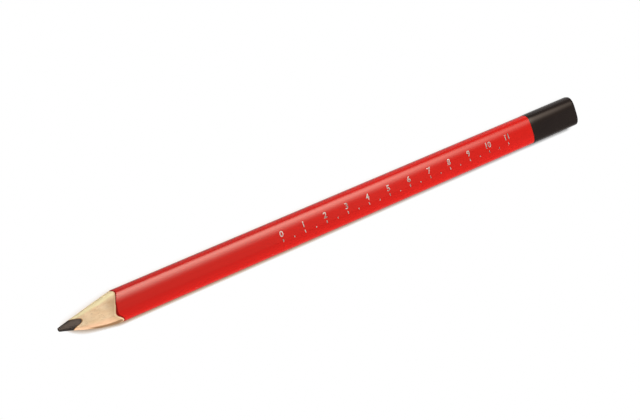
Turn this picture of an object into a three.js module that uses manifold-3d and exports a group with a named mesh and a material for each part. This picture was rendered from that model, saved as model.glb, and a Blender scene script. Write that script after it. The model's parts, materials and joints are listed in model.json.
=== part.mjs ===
// A wood-cased marking pencil with a flat-oval barrel, in millimetres, +Z up.
// It lies on a broad face. +X points to the dipped end and the sharpened point is at -X.
// The origin is on the surface that it lies on, under the middle of its box.
//
// The pencil is built as it is made: a lead is glued between two grooved slats, the case is
// shaped to a flat oval, primed and lacquered, its blunt end is dipped, and the point is cut
// last, so that one tapered shape trims the lead, the wood and the paint alike.

import * as THREE from 'three';
import { mergeVertices } from 'three/addons/utils/BufferGeometryUtils.js';
import Module from 'manifold-3d';

const wasm = await Module();
wasm.setup();

// Barrel, measured over the lacquer
const length = 240;
const barrelWidth = 12.2;
const barrelThickness = 7.8;
const flatWidth = 2; // straight part of each broad face
const fullness = 2.7; // shape of the rounded sides: 2 is an ellipse, more is squarer

// Lead, and the glue that holds it and joins the two slats
const leadDiameter = 4;
const glueThickness = 0.06;

// Coats over the wood
const primerThickness = 0.05;
const lacquerThickness = 0.08;
const coatClearance = 0.015;

// Dipped end
const dipLength = 24;
const dipThickness = 0.08;
const dipEndThickness = 0.3;
const dipLipThickness = 0.03; // the dip thins out towards its edge
const dipLipLength = 0.6;
const caseEndRadius = 0.3; // rounding of the case under the dip

// Sharpened point: distances from the tip to where the taper leaves the lacquer
const shoulderAtSides = 23.2;
const shoulderAtFaces = 22.3;
const tipWidth = 1.5; // the taper's sizes at the tip, before it is blunted
const tipThickness = 0.95;
const taperFlatWidth = 2.7; // straight part of the cut face, where it leaves the lacquer
const taperFullness = 2.2;
const tipOffset = 0.3; // a point cut by hand is a little off the axis, towards +Y
const tipTurn = 34; // degrees by which its section is turned, +Y side down
const bluntLength = 0.4; // the tip is worn round over this length
const bluntInset = 0.35;

// Fineness of the curved surfaces
const cornerSteps = 12; // for each quarter of an oval
const circleSteps = 40;
const roundingSteps = 5;
const taperSteps = 14;

const overrun = 1; // how far a cutting shape runs past what it cuts
const taperOverrun = 1.3; // the taper's shape goes on past the shoulder, by this factor

const tipX = -length / 2;
const endX = length / 2;
const caseEndX = endX - dipEndThickness;
const dipX = endX - dipLength;
const axisHeight = barrelThickness / 2 + dipThickness;

// How far each layer lies inside the outer face of the lacquer
const lacquerInside = lacquerThickness;
const primerOutside = lacquerInside + coatClearance;
const primerInside = primerOutside + primerThickness;
const woodDepth = primerInside + coatClearance;
const cavityRadius = caseEndRadius + woodDepth; // the dip's inner rounding, over the case's own

const leadRadius = leadDiameter / 2;
const glueBoreRadius = leadRadius + coatClearance;
const glueSleeveRadius = glueBoreRadius + glueThickness;
const grooveRadius = glueSleeveRadius + coatClearance;
const slatGap = glueThickness / 2 + coatClearance; // from the middle plane to each slat

// A flat oval in the YZ plane: two straight faces joined by full, rounded sides.
function oval(halfWidth, halfThickness, halfFlat, power) {
  const points = [];
  const reach = halfWidth - halfFlat;
  for (let quarter = 0; quarter < 4; quarter++) {
    const side = quarter === 0 || quarter === 3 ? 1 : -1;
    const face = quarter < 2 ? 1 : -1;
    // The quarters meet at the sides, where the last point would repeat the next one's first.
    const last = quarter % 2 === 0 ? cornerSteps : cornerSteps - 1;
    for (let step = 0; step <= last; step++) {
      const angle = ((quarter + step / cornerSteps) * Math.PI) / 2;
      const y = side * (halfFlat + reach * Math.abs(Math.cos(angle)) ** (2 / power));
      const z = face * halfThickness * Math.abs(Math.sin(angle)) ** (2 / power);
      points.push(new THREE.Vector2(y, z));
    }
  }
  return points;
}

// The barrel's section at a depth below the outer face of the lacquer.
function barrelSection(depth) {
  return oval(barrelWidth / 2 - depth, barrelThickness / 2 - depth, flatWidth / 2, fullness);
}

function circle(radius) {
  const points = [];
  for (let step = 0; step < circleSteps; step++) {
    const angle = (step / circleSteps) * 2 * Math.PI;
    points.push(new THREE.Vector2(radius * Math.cos(angle), radius * Math.sin(angle)));
  }
  return points;
}

// Runs a section in the YZ plane along X, round the pencil's axis.
function bar(section, fromX, toX, hole) {
  const shape = new THREE.Shape(section);
  if (hole) shape.holes.push(new THREE.Path(hole));
  const geometry = new THREE.ExtrudeGeometry(shape, { depth: toX - fromX, bevelEnabled: false });
  const alongX = new THREE.Matrix4().makeBasis(
    new THREE.Vector3(0, 1, 0),
    new THREE.Vector3(0, 0, 1),
    new THREE.Vector3(1, 0, 0),
  );
  geometry.applyMatrix4(alongX);
  geometry.translate(fromX, 0, axisHeight);
  return geometry;
}

// Joins sections of equal point count, in order along X, into one closed solid.
function loft(rings) {
  const positions = [];
  const triangles = [];
  const count = rings[0].section.length;
  for (const ring of rings) {
    for (const point of ring.section) positions.push(ring.x, point.x, axisHeight + point.y);
  }
  for (let ring = 0; ring + 1 < rings.length; ring++) {
    for (let point = 0; point < count; point++) {
      const near = ring * count + point;
      const nearNext = ring * count + ((point + 1) % count);
      triangles.push(near, nearNext, near + count);
      triangles.push(nearNext, nearNext + count, near + count);
    }
  }
  const lastRing = (rings.length - 1) * count;
  const firstCentre = rings.length * count;
  const lastCentre = firstCentre + 1;
  positions.push(rings[0].x, 0, axisHeight, rings[rings.length - 1].x, 0, axisHeight);
  for (let point = 0; point < count; point++) {
    const next = (point + 1) % count;
    triangles.push(firstCentre, next, point);
    triangles.push(lastCentre, lastRing + point, lastRing + next);
  }
  const geometry = new THREE.BufferGeometry();
  geometry.setAttribute('position', new THREE.Float32BufferAttribute(positions, 3));
  geometry.setIndex(triangles);
  return geometry;
}

// Rings that round off the +X end of a bar of the barrel's section.
function roundedEnd(depth, toX, radius) {
  const rings = [];
  for (let step = 0; step <= roundingSteps; step++) {
    const angle = ((step / roundingSteps) * Math.PI) / 2;
    const x = toX - radius + radius * Math.sin(angle);
    const inset = radius * (1 - Math.cos(angle));
    rings.push({ x, section: barrelSection(depth + inset) });
  }
  return rings;
}

function solid(geometry) {
  geometry.deleteAttribute('normal');
  geometry.deleteAttribute('uv');
  const merged = mergeVertices(geometry);
  return new wasm.Manifold(
    new wasm.Mesh({
      numProp: 3,
      vertProperties: new Float32Array(merged.attributes.position.array),
      triVerts: new Uint32Array(merged.index.array),
    }),
  );
}

function namedMesh(name, body, color, roughness, metalness = 0) {
  const { vertProperties, triVerts } = body.getMesh();
  const geometry = new THREE.BufferGeometry();
  geometry.setAttribute('position', new THREE.BufferAttribute(vertProperties, 3));
  geometry.setIndex(new THREE.BufferAttribute(triVerts, 1));
  geometry.computeVertexNormals();
  const material = new THREE.MeshStandardMaterial({ color, roughness, metalness });
  const mesh = new THREE.Mesh(geometry, material);
  mesh.name = name;
  return mesh;
}

// The taper's section at a distance from the tip. Its turn and offset fade out to the shoulder.
function taperRing(distance, inset) {
  const alongSides = distance / shoulderAtSides;
  const alongFaces = distance / shoulderAtFaces;
  const halfWidth = (tipWidth + (barrelWidth - tipWidth) * alongSides) / 2 - inset;
  const halfThickness = (tipThickness + (barrelThickness - tipThickness) * alongFaces) / 2 - inset;
  const halfFlat = (taperFlatWidth / barrelWidth) * halfWidth;
  const fade = Math.max(0, 1 - alongSides);
  const turn = THREE.MathUtils.degToRad(-tipTurn * fade);
  const section = oval(halfWidth, halfThickness, halfFlat, taperFullness);
  const middle = new THREE.Vector2(0, 0);
  const offset = new THREE.Vector2(tipOffset * fade, 0);
  return {
    x: tipX + distance,
    section: section.map((point) => point.rotateAround(middle, turn).add(offset)),
  };
}

// The shape that the knife leaves: a taper, wider than thick, with a worn tip.
// Past the shoulder it is larger than the barrel and trims nothing.
function pointShape() {
  const rings = [];
  for (let step = 0; step <= roundingSteps; step++) {
    const angle = ((step / roundingSteps) * Math.PI) / 2;
    rings.push(taperRing(bluntLength * (1 - Math.cos(angle)), bluntInset * (1 - Math.sin(angle))));
  }
  const toDistance = taperOverrun * shoulderAtSides;
  for (let step = 1; step <= taperSteps; step++) {
    rings.push(taperRing(bluntLength + (step / taperSteps) * (toDistance - bluntLength), 0));
  }
  rings.push({ x: endX + overrun, section: rings[rings.length - 1].section });
  return solid(loft(rings));
}

// The shaped wooden case, before it is split into its slats, with its rounded blunt end.
function caseShape() {
  const start = { x: tipX, section: barrelSection(woodDepth) };
  return solid(loft([start, ...roundedEnd(woodDepth, caseEndX, caseEndRadius)]));
}

function leadCore(cutCase) {
  return solid(bar(circle(leadRadius), tipX, endX)).intersect(cutCase);
}

// The glue lies between the slats and wraps the lead.
function glueLine(cutCase) {
  const halfFilm = glueThickness / 2;
  const filmSection = oval(barrelWidth / 2, halfFilm, barrelWidth / 2 - halfFilm, fullness);
  const film = solid(bar(filmSection, tipX, endX));
  const sleeve = solid(bar(circle(glueSleeveRadius), tipX, endX));
  const bore = solid(bar(circle(glueBoreRadius), tipX - overrun, endX + overrun));
  return film.add(sleeve).subtract(bore).intersect(cutCase);
}

// One half of the case: its groove holds the lead, its flat face meets the glue.
function slat(cutCase, side) {
  const blank = new THREE.BoxGeometry(length + overrun, barrelWidth + overrun, barrelThickness);
  blank.translate(0, 0, axisHeight + side * (slatGap + barrelThickness / 2));
  const groove = solid(bar(circle(grooveRadius), tipX - overrun, endX + overrun));
  return cutCase.intersect(solid(blank)).subtract(groove);
}

// A coat of paint, trimmed where the point was cut. It ends before the dip's inside curves in.
function coat(outsideDepth, insideDepth, point) {
  const toX = caseEndX - cavityRadius;
  const tube = bar(barrelSection(outsideDepth), tipX, toX, barrelSection(insideDepth));
  return solid(tube).intersect(point);
}

// The dip covers the last stretch of the barrel and the end like a cap.
function dipCap() {
  const capRadius = cavityRadius + dipThickness;
  const outside = [
    { x: dipX, section: barrelSection(-coatClearance - dipLipThickness) },
    { x: dipX + dipLipLength, section: barrelSection(-dipThickness) },
    ...roundedEnd(-dipThickness, endX, capRadius),
  ];
  const inside = [
    { x: dipX - overrun, section: barrelSection(-coatClearance) },
    ...roundedEnd(-coatClearance, caseEndX + coatClearance, cavityRadius),
  ];
  return solid(loft(outside)).subtract(solid(loft(inside)));
}

const point = pointShape();
const cutCase = caseShape().intersect(point);

const pencil = new THREE.Group();
pencil.name = 'marking_pencil';
pencil.add(
  namedMesh('lead_core', leadCore(cutCase), '#57524f', 0.45),
  namedMesh('slat_upper', slat(cutCase, 1), '#e6cfa2', 0.7),
  namedMesh('slat_lower', slat(cutCase, -1), '#e2c99b', 0.7),
  namedMesh('glue_line', glueLine(cutCase), '#b8935c', 0.5),
  namedMesh('primer_coat', coat(primerOutside, primerInside, point), '#f0dcbc', 0.6),
  namedMesh('red_lacquer', coat(0, lacquerInside, point), '#cf2423', 0.18),
  namedMesh('black_dip', dipCap(), '#1c1817', 0.15),
);

export default pencil;
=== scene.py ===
# %% [markdown]
# # A marking pencil in Blender
#
# The object is a long wood-cased pencil of flat-oval section. It has a thick grey lead, a case of
# two pale slats, a glossy red lacquer, a black dipped end and a stamped foil scale. This file
# dresses the engineering model with fine meshes and with materials made of nodes.
#
# Every cell does one thing: it makes a piece, a finish, a lamp or the camera, and says why it is
# made that way. Lengths in the formulas are millimetres, because that is how a pencil maker
# thinks. They become metres, Blender's unit, at the last moment, when a mesh is written.

# %% Load the engineering model
import json
import math
from functools import partialmethod

import bmesh
import bpy
import numpy as np
from mathutils import Matrix, Vector

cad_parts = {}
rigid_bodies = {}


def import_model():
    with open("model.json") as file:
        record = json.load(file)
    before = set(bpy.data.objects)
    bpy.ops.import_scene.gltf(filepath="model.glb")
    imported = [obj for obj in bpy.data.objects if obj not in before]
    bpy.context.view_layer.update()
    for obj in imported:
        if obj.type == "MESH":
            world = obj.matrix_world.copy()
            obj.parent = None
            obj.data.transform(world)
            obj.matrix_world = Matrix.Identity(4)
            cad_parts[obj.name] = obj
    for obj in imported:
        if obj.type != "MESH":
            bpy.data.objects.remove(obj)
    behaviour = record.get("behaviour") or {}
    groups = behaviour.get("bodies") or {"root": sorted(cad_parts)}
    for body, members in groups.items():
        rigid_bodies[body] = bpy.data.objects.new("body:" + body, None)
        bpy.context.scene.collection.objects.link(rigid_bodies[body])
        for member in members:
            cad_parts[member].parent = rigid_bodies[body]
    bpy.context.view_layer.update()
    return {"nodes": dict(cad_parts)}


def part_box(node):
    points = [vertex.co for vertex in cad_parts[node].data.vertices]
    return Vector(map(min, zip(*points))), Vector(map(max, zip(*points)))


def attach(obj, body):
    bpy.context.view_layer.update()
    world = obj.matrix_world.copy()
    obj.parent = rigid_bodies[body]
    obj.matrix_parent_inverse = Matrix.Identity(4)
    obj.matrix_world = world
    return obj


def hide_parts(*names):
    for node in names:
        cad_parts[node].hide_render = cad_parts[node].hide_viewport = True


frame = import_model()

print("nodes in the frame:", ", ".join(sorted(frame["nodes"])))

# %% [markdown]
# ## Sizes
#
# A new mesh has to lie exactly where the engineering model's solid lies. So the sizes are read
# from the boxes of its nodes, and only what a box can't tell is a value of its own: how square
# the oval is, how wide its flat is, and how the point is cut.

# %% Read the pencil's sizes from the frame
MM = 0.001
BODY = "root"


def span(node, axis):
    """The lowest and the highest place of a node along an axis, in millimetres."""
    low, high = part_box(node)
    return low[axis] / MM, high[axis] / MM


def half_size(node, axis):
    low, high = span(node, axis)
    return (high - low) / 2


TIP_X = span("lead_core", 0)[0]
END_X = span("black_dip", 0)[1]
DIP_X = span("black_dip", 0)[0]
CASE_END_X = span("slat_upper", 0)[1]
COAT_END_X = span("red_lacquer", 0)[1]
AXIS_HEIGHT = sum(span("red_lacquer", 2)) / 2
HALF_WIDTH = half_size("red_lacquer", 1)
HALF_THICKNESS = half_size("red_lacquer", 2)
DIP_THICKNESS = half_size("black_dip", 1) - HALF_WIDTH
PRIMER_DEPTH = HALF_WIDTH - half_size("primer_coat", 1)
WOOD_DEPTH = HALF_WIDTH - half_size("slat_upper", 1)
LEAD_RADIUS = half_size("lead_core", 1)
SLEEVE_RADIUS = half_size("glue_line", 2)
SLAT_GAP = span("slat_upper", 2)[0] - AXIS_HEIGHT

HALF_FLAT = 1.0  # half of the straight part of each broad face
FULLNESS = 2.7  # 2 is an ellipse, more is squarer
CLEARANCE = 0.015  # between one layer and the next
LACQUER_THICKNESS = 0.08
PRIMER_THICKNESS = 0.05
CASE_END_RADIUS = 0.3

print(f"barrel {2 * HALF_WIDTH:.2f} by {2 * HALF_THICKNESS:.2f} mm, {END_X - TIP_X:.1f} mm long")

# %% [markdown]
# ## One rule for the section
#
# The barrel's section is two straight faces joined by full, rounded sides. A circle would be
# cos and sin of an angle. Raising both to a power below 1 pushes the corners outwards, which is
# the superellipse, and shifting the halves apart adds the flat. All layers use this one rule.

# %% Draw the flat oval
def barrel(angles, depth):
    """The barrel's section as y and z from the axis, some depth below the lacquer's outer face."""
    across, up = np.cos(angles), np.sin(angles)
    reach = HALF_WIDTH - depth - HALF_FLAT
    y = np.sign(across) * (HALF_FLAT + reach * np.abs(across) ** (2 / FULLNESS))
    z = np.sign(up) * (HALF_THICKNESS - depth) * np.abs(up) ** (2 / FULLNESS)
    return np.stack([y, z], axis=-1)


def circle(angles, radius):
    return radius * np.stack([np.cos(angles), np.sin(angles)], axis=-1)


def full_turn(count):
    return np.arange(count) / count * 2 * math.pi


print("the barrel's corner at 45 degrees:", barrel(np.array([math.pi / 4]), 0.0).round(3).tolist())

# %% [markdown]
# ## The knife's cut
#
# The sharpened end is one tapered surface that trims lacquer, primer, wood, glue and lead alike.
# Each of its sections is a flat oval that grows steadily from the tip. The point was cut by hand,
# so towards the tip the section is turned, it lies a little off the axis, and one side was left
# fuller than the other. A knife also leaves faint facets, so the surface swells and dips very
# slightly round the pencil.
#
# A sweep along the pencil could build this surface, but then every layer would have to be cut
# with it. It is easier to ask the opposite question: how far from the tip does the surface pass
# through a given point of the section? The answer comes from halving an interval, for all points
# at once, and it puts the edge of each layer exactly on the cut.

# %% Find where the cut passes through a point
SHOULDER_AT_SIDES = 23.2
SHOULDER_AT_FACES = 22.3
TIP_HALF_WIDTH = 0.75
TIP_HALF_THICKNESS = 0.475
TIP_OFFSET = 0.3
TIP_TURN = math.radians(34)
FULLER_SIDE = 0.9  # how much further out the near side lies, at most
FULLEST_PLACE = 1.5  # at 1 that is half way up the taper, and above 1 nearer to the shoulder
LIP_PLACES = (8.0, 10.5, 14.0, 22.3)  # where the harder lead ends, the blade left a low lip
LIP_HEIGHTS = (0.0, 0.26, 0.24, 0.0)
TAPER_FLAT_SHARE = 2.7 / 12.2
TAPER_FULLNESS = 2.2
TIP_WEAR = 0.6  # the length over which the tip is worn round
FACETS = 15
FACET_SHARE = 0.1  # 1 would be a true polygon, 0 is perfectly round
FACET_WAVES = (0.12, 0.07)  # in radians, because no two facets are equally wide
FACET_WAVE_SHIFT = 0.7
APEX_SHARE = 0.98  # the search starts just after the place where the taper would end in a point
HALVINGS = 44


def facet_swell(y, z):
    """How much nearer to the middle the cut lies than on a smooth taper, as a factor near 1."""
    step = 2 * math.pi / FACETS
    turn = np.arctan2(z, y)
    slow, quick = FACET_WAVES
    uneven = turn + slow * np.sin(2 * turn + FACET_WAVE_SHIFT) + quick * np.sin(5 * turn)
    polygon = math.cos(step / 2) / np.cos(np.mod(uneven, step) - step / 2)
    return 1 + FACET_SHARE * (polygon - 1 + (1 - math.cos(step / 2)) / 2)


def taper_level(points, distance):
    """Above 1 outside the cut surface's section at a distance from the tip, below 1 inside."""
    along = distance / SHOULDER_AT_SIDES
    half_width = TIP_HALF_WIDTH + (HALF_WIDTH - TIP_HALF_WIDTH) * along
    half_thickness = (
        TIP_HALF_THICKNESS + (HALF_THICKNESS - TIP_HALF_THICKNESS) * distance / SHOULDER_AT_FACES
    )
    half_flat = TAPER_FLAT_SHARE * half_width
    half_thickness = half_thickness + np.interp(distance, LIP_PLACES, LIP_HEIGHTS)
    fuller = FULLER_SIDE * np.sin(math.pi * np.clip(along, 0, 1) ** FULLEST_PLACE)
    fade = np.maximum(0, 1 - along)
    y, z = points[..., 0] - TIP_OFFSET * fade, points[..., 1]
    cos_turn, sin_turn = np.cos(TIP_TURN * fade), np.sin(TIP_TURN * fade)
    y, z = y * cos_turn - z * sin_turn, y * sin_turn + z * cos_turn
    reach = half_width + np.where(y < 0, fuller, 0)
    across = np.maximum(np.abs(y) - half_flat, 0) / (reach - half_flat)
    up = np.abs(z) / half_thickness
    return (across**TAPER_FULLNESS + up**TAPER_FULLNESS) / facet_swell(y, z) ** TAPER_FULLNESS


def halved(low, high, holds):
    """The place between low and high up to which a test holds, found by halving the interval."""
    for _ in range(HALVINGS):
        middle = (low + high) / 2
        so_far = holds(middle)
        low = np.where(so_far, middle, low)
        high = np.where(so_far, high, middle)
    return (low + high) / 2


def front(points):
    """The x of the cut surface over points of the section."""
    apex = -SHOULDER_AT_FACES * TIP_HALF_THICKNESS / (HALF_THICKNESS - TIP_HALF_THICKNESS)
    near = np.full(points.shape[:-1], APEX_SHARE * apex)
    far = np.full(points.shape[:-1], 2 * SHOULDER_AT_SIDES)
    distance = halved(near, far, lambda middle: taper_level(points, middle) > 1)
    return TIP_X + (distance + np.sqrt(distance**2 + TIP_WEAR**2)) / 2


on_face = front(np.array([[0.0, HALF_THICKNESS]]))[0] - TIP_X
on_side = front(np.array([[HALF_WIDTH, 0.0]]))[0] - TIP_X
print(f"the cut ends {on_face:.2f} mm from the tip on the broad face and {on_side:.2f} at the side")

# %% [markdown]
# ## The rounded blunt end of the case
#
# Before dipping, the end is tumbled round. The same halving finds how deep below the case's
# surface a point of the section lies, and a quarter circle turns that depth into an x.

# %% Find where the case ends over a point
SHORT_OF_AXIS = 1e-3  # at the axis itself the section has no size to divide by


def case_depth(points):
    """How far below the case's outer surface a point of the section lies."""
    def lies_deeper(depth):
        half_width = HALF_WIDTH - WOOD_DEPTH - depth
        half_thickness = HALF_THICKNESS - WOOD_DEPTH - depth
        across = np.maximum(np.abs(points[..., 0]) - HALF_FLAT, 0) / (half_width - HALF_FLAT)
        up = np.abs(points[..., 1]) / half_thickness
        return across**FULLNESS + up**FULLNESS < 1

    deepest = HALF_THICKNESS - WOOD_DEPTH - SHORT_OF_AXIS
    return halved(np.zeros(points.shape[:-1]), np.full(points.shape[:-1], deepest), lies_deeper)


def case_back(points):
    """The x of the case's rounded end over points of the section."""
    lift = 1 - np.minimum(case_depth(points) / CASE_END_RADIUS, 1)
    return CASE_END_X - CASE_END_RADIUS * (1 - np.sqrt(1 - lift**2))


def coat_back(points):
    """The coats stop on a plane, hidden by the dip."""
    return np.full(points.shape[:-1], COAT_END_X)


rounded_x = case_back(barrel(full_turn(4), WOOD_DEPTH))[0]
print(f"the case's edge is rounded back to x = {rounded_x:.2f} mm")

# %% [markdown]
# ## Turning sections into solids
#
# Every layer of a pencil is the same kind of solid: an outer line and an inner line of the
# section, run from the cut to the blunt end. So one helper makes them all. For each point of the
# outline it writes a rib: over the cut from the inner line to the outer one, back along the
# outside, over the end, and home along the inside. Neighbouring ribs are joined with quads. The
# rows where a surface turns sharply are marked, so that smooth shading stops there.

# %% Make the helper for a layer
def blend_points(start, end, steps):
    """Rows of points from one line of the section to another."""
    share = np.linspace(0, 1, steps + 1)
    return start[:, None, :] * (1 - share[None, :, None]) + end[:, None, :] * share[None, :, None]


def rib_part(points, xs):
    y, z = points[..., 0], points[..., 1] + AXIS_HEIGHT
    return np.stack([xs, y, z], axis=-1)


def rows_along(line, start_x, stop_x, steps):
    """The rows over a line of the section between two x, without the first and the last."""
    along = np.linspace(0, 1, steps + 1)[1:-1]
    points = np.repeat(line[:, None, :], along.size, axis=1)
    return rib_part(points, start_x[:, None] + (stop_x - start_x)[:, None] * along)


def layer_ribs(outer, inner, back, rows):
    """The ribs of a layer and the rows of them that are sharp edges.

    rows gives the number of steps over the cut, along the outside, over the end and along the
    inside. An inner line of None means that the layer reaches the axis.
    """
    cut_rows, outside_rows, end_rows, inside_rows = rows
    core = np.zeros_like(outer) if inner is None else inner
    cut = blend_points(core, outer, cut_rows)
    end = blend_points(outer, core, end_rows)
    parts = [
        rib_part(cut, front(cut)),
        rows_along(outer, front(outer), back(outer), outside_rows),
        rib_part(end, back(end)),
    ]
    corner = cut_rows + outside_rows
    sharp = [cut_rows, corner, corner + end_rows]
    if inner is not None:
        parts.append(rows_along(inner, back(inner), front(inner), inside_rows))
        sharp.append(0)
    return np.concatenate(parts, axis=1), sharp


def rib_faces(count, rows, around, loop, first):
    """Quads between neighbouring ribs, and the end caps of a strip that isn't a full turn."""
    faces = []
    for rib in range(count if around else count - 1):
        here = first + rib * rows
        there = first + (rib + 1) % count * rows
        for row in range(rows if loop else rows - 1):
            after = (row + 1) % rows
            faces.append((here + row, here + after, there + after, there + row))
    if not around:
        last = first + (count - 1) * rows
        faces.append(tuple(first + row for row in reversed(range(rows))))
        faces.append(tuple(last + row for row in range(rows)))
    return faces


def in_scene(name, data):
    """A new object in the scene, at the origin."""
    thing = bpy.data.objects.new(name, data)
    bpy.context.scene.collection.objects.link(thing)
    return thing


def finished_piece(name, mesh, material, slot, *nodes):
    """Puts a mesh into the scene as a piece of the pencil."""
    piece = in_scene(name, mesh)
    mesh.materials.clear()
    mesh.materials.append(material)
    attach(piece, BODY)
    if nodes:
        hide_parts(*nodes)
    print(f"{name}: {len(mesh.vertices)} points, {len(mesh.polygons)} faces")


print("helpers ready: ribs become solids")

# %% [markdown]
# A strip of ribs can be a full turn, as round the lacquer, or a half, as on a slat. Where a layer
# reaches the axis, all its ribs share their first and last points, which are merged. The mesh is
# then checked for its volume: if that is negative, the faces look inwards and are flipped.

# %% Make the helper that writes a layer as a mesh
MERGE_GRID = 1e-6  # in metres: points that fall on the same step of this grid are one


def places_of(mesh):
    places = np.empty(len(mesh.vertices) * 3)
    mesh.vertices.foreach_get("co", places)
    return places.reshape(-1, 3)


def signed_volume(mesh):
    mesh.calc_loop_triangles()
    corners = np.empty(len(mesh.loop_triangles) * 3, dtype=np.int32)
    mesh.loop_triangles.foreach_get("vertices", corners)
    a, b, c = places_of(mesh)[corners.reshape(-1, 3)].transpose(1, 0, 2)
    return float(np.einsum("ij,ij->i", a, np.cross(b, c)).sum() / 6)


def on_grid(points):
    return np.round(points / MERGE_GRID).astype(np.int64)


def merged(points, faces):
    """Merges the points that coincide, and drops the corners that a face then repeats."""
    _, first, group = np.unique(on_grid(points), axis=0, return_index=True, return_inverse=True)
    order = np.argsort(first)
    new_place = np.empty_like(order)
    new_place[order] = np.arange(order.size)
    group = new_place[group.reshape(-1)]
    tidy = []
    for face in faces:
        corners = [int(group[corner]) for corner in face]
        corners = [c for k, c in enumerate(corners) if c != corners[k - 1]]
        if len(corners) > 2:
            tidy.append(tuple(corners))
    return points[np.sort(first)], tidy


def sharp_pairs(ribs, sharp_rows, around):
    """Edges that run from rib to rib along a sharp row, and all edges of the end caps."""
    count, rows = ribs.shape[:2]
    pairs = []
    for row in sharp_rows:
        for rib in range(count if around else count - 1):
            pairs.append((ribs[rib, row], ribs[(rib + 1) % count, row]))
    if not around:
        for rib in (0, count - 1):
            for row in range(rows):
                pairs.append((ribs[rib, row], ribs[rib, (row + 1) % rows]))
    return pairs


def mesh_of(name, strips):
    """One mesh from strips, each given as its ribs and sharp rows, and whether it is a full turn
    and whether each rib is a closed loop."""
    points, faces, pairs = [], [], []
    for ribs, sharp_rows, around, loop in strips:
        count, rows = ribs.shape[:2]
        start = sum(len(block) for block in points)
        faces += rib_faces(count, rows, around, loop, start)
        pairs += sharp_pairs(ribs, sharp_rows, around)
        points.append(ribs.reshape(-1, 3))
    points, faces = merged(np.concatenate(points) * MM, faces)
    mesh = bpy.data.meshes.new(name)
    mesh.from_pydata(points.tolist(), [], faces)
    if signed_volume(mesh) < 0:
        mesh.flip_normals()
    mesh.shade_smooth()
    place_of = {tuple(key): index for index, key in enumerate(on_grid(points).tolist())}
    wanted = set()
    for pair in pairs:
        ends = [place_of.get(tuple(on_grid(point * MM).tolist())) for point in pair]
        if None not in ends:
            wanted.add(tuple(sorted(ends)))
    for edge in mesh.edges:
        if tuple(sorted(edge.vertices)) in wanted:
            edge.use_edge_sharp = True
    return mesh


print("helpers ready: strips of ribs become one mesh")

# %% [markdown]
# ## Shader maths as plain formulas
#
# A material is a network of nodes, and building one node at a time hides the idea. The class
# below wraps a socket and gives it the usual operators, so that `1 - mask` adds a Math node by
# itself. Every other node comes from one method that takes the node's type, its settings and the
# values or links of its sockets. Geometry Nodes use the same Math node, so it serves both.

# %% Make the helper for node trees
def pick(sockets, key):
    """A socket by its number, or the first one in use with that name."""
    if isinstance(key, int):
        return sockets[key]
    return next(s for s in sockets if s.enabled and key in (s.name, s.identifier))


class Wire:
    """A socket that can be used in a formula."""

    def __init__(self, tree, socket):
        self.tree = tree
        self.socket = socket

    def output(self, key):
        """Another output of the node that this one comes from."""
        return Wire(self.tree, pick(self.socket.node.outputs, key))

    def maths(self, operation, *values):
        return self.tree.maths(operation, self, *values)

    def __rsub__(self, value):
        return self.tree.maths("SUBTRACT", value, self)

    __add__ = __radd__ = partialmethod(maths, "ADD")
    __sub__ = partialmethod(maths, "SUBTRACT")
    __mul__ = __rmul__ = partialmethod(maths, "MULTIPLY")
    __truediv__ = partialmethod(maths, "DIVIDE")
    __pow__ = partialmethod(maths, "POWER")


class Tree:
    """Adds nodes to a node tree."""

    def __init__(self, node_tree):
        self.node_tree = node_tree

    def node(self, kind, settings=None, inputs=None, output=0):
        node = self.node_tree.nodes.new(kind)
        for name, value in (settings or {}).items():
            setattr(node, name, value)
        for key, value in (inputs or {}).items():
            socket = pick(node.inputs, key)
            if isinstance(value, Wire):
                self.node_tree.links.new(value.socket, socket)
            else:
                socket.default_value = value
        return Wire(self, pick(node.outputs, output)) if node.outputs else None

    def maths(self, operation, *values):
        return self.node("ShaderNodeMath", {"operation": operation}, dict(enumerate(values)))


def smooth_step(value, low, high):
    """0 below low, 1 above high, and a smooth rise between."""
    return value.tree.node("ShaderNodeMapRange", {"interpolation_type": "SMOOTHSTEP"},
                           {"Value": value, "From Min": low, "From Max": high})


def mix_colour(tree, share, first, second, blend="MIX"):
    settings = {"data_type": "RGBA", "blend_type": blend}
    inputs = {"Factor_Float": share, "A_Color": first, "B_Color": second}
    return tree.node("ShaderNodeMix", settings, inputs, "Result_Color")


def new_material(name):
    material = bpy.data.materials.new(name)
    material.use_nodes = True
    material.node_tree.nodes.clear()
    return material, Tree(material.node_tree)


def parts_of(tree, vector):
    """The x, y and z of a vector."""
    x = tree.node("ShaderNodeSeparateXYZ", {}, {"Vector": vector})
    return x, x.output("Y"), x.output("Z")


def millimetres(tree, stretch=(1, 1, 1)):
    """Object coordinates in millimetres, stretched along the pencil or across it."""
    place = tree.node("ShaderNodeTexCoord", output="Object")
    scale = tuple(s / MM for s in stretch)
    return tree.node("ShaderNodeMapping", {}, {"Vector": place, "Scale": scale})


def facing(tree):
    """The direction that the surface faces, as its x, y and z."""
    return parts_of(tree, tree.node("ShaderNodeNewGeometry", output="True Normal"))


def noise(tree, grain, detail=2.0, roughness=0.5):
    """Noise with so many grains to a millimetre along the pencil, across it and upwards."""
    inputs = {"Vector": millimetres(tree, grain), "Scale": 1.0, "Detail": detail,
              "Roughness": roughness}
    return tree.node("ShaderNodeTexNoise", {}, inputs)


def layered(tree, base, *layers):
    """Colours laid over a base, each given as its share and its red, green and blue."""
    colour = rgb(*base)
    for share, tint in layers:
        colour = mix_colour(tree, share, colour, rgb(*tint))
    return colour


def bumps(tree, *layers):
    """Reliefs laid over one another, each given as its pattern and its height in millimetres."""
    inputs = {"Strength": 1.0}
    for pattern, height in layers:
        inputs |= {"Height": pattern, "Distance": height * MM}
        inputs["Normal"] = tree.node("ShaderNodeBump", {}, inputs)
    return inputs["Normal"]


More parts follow.
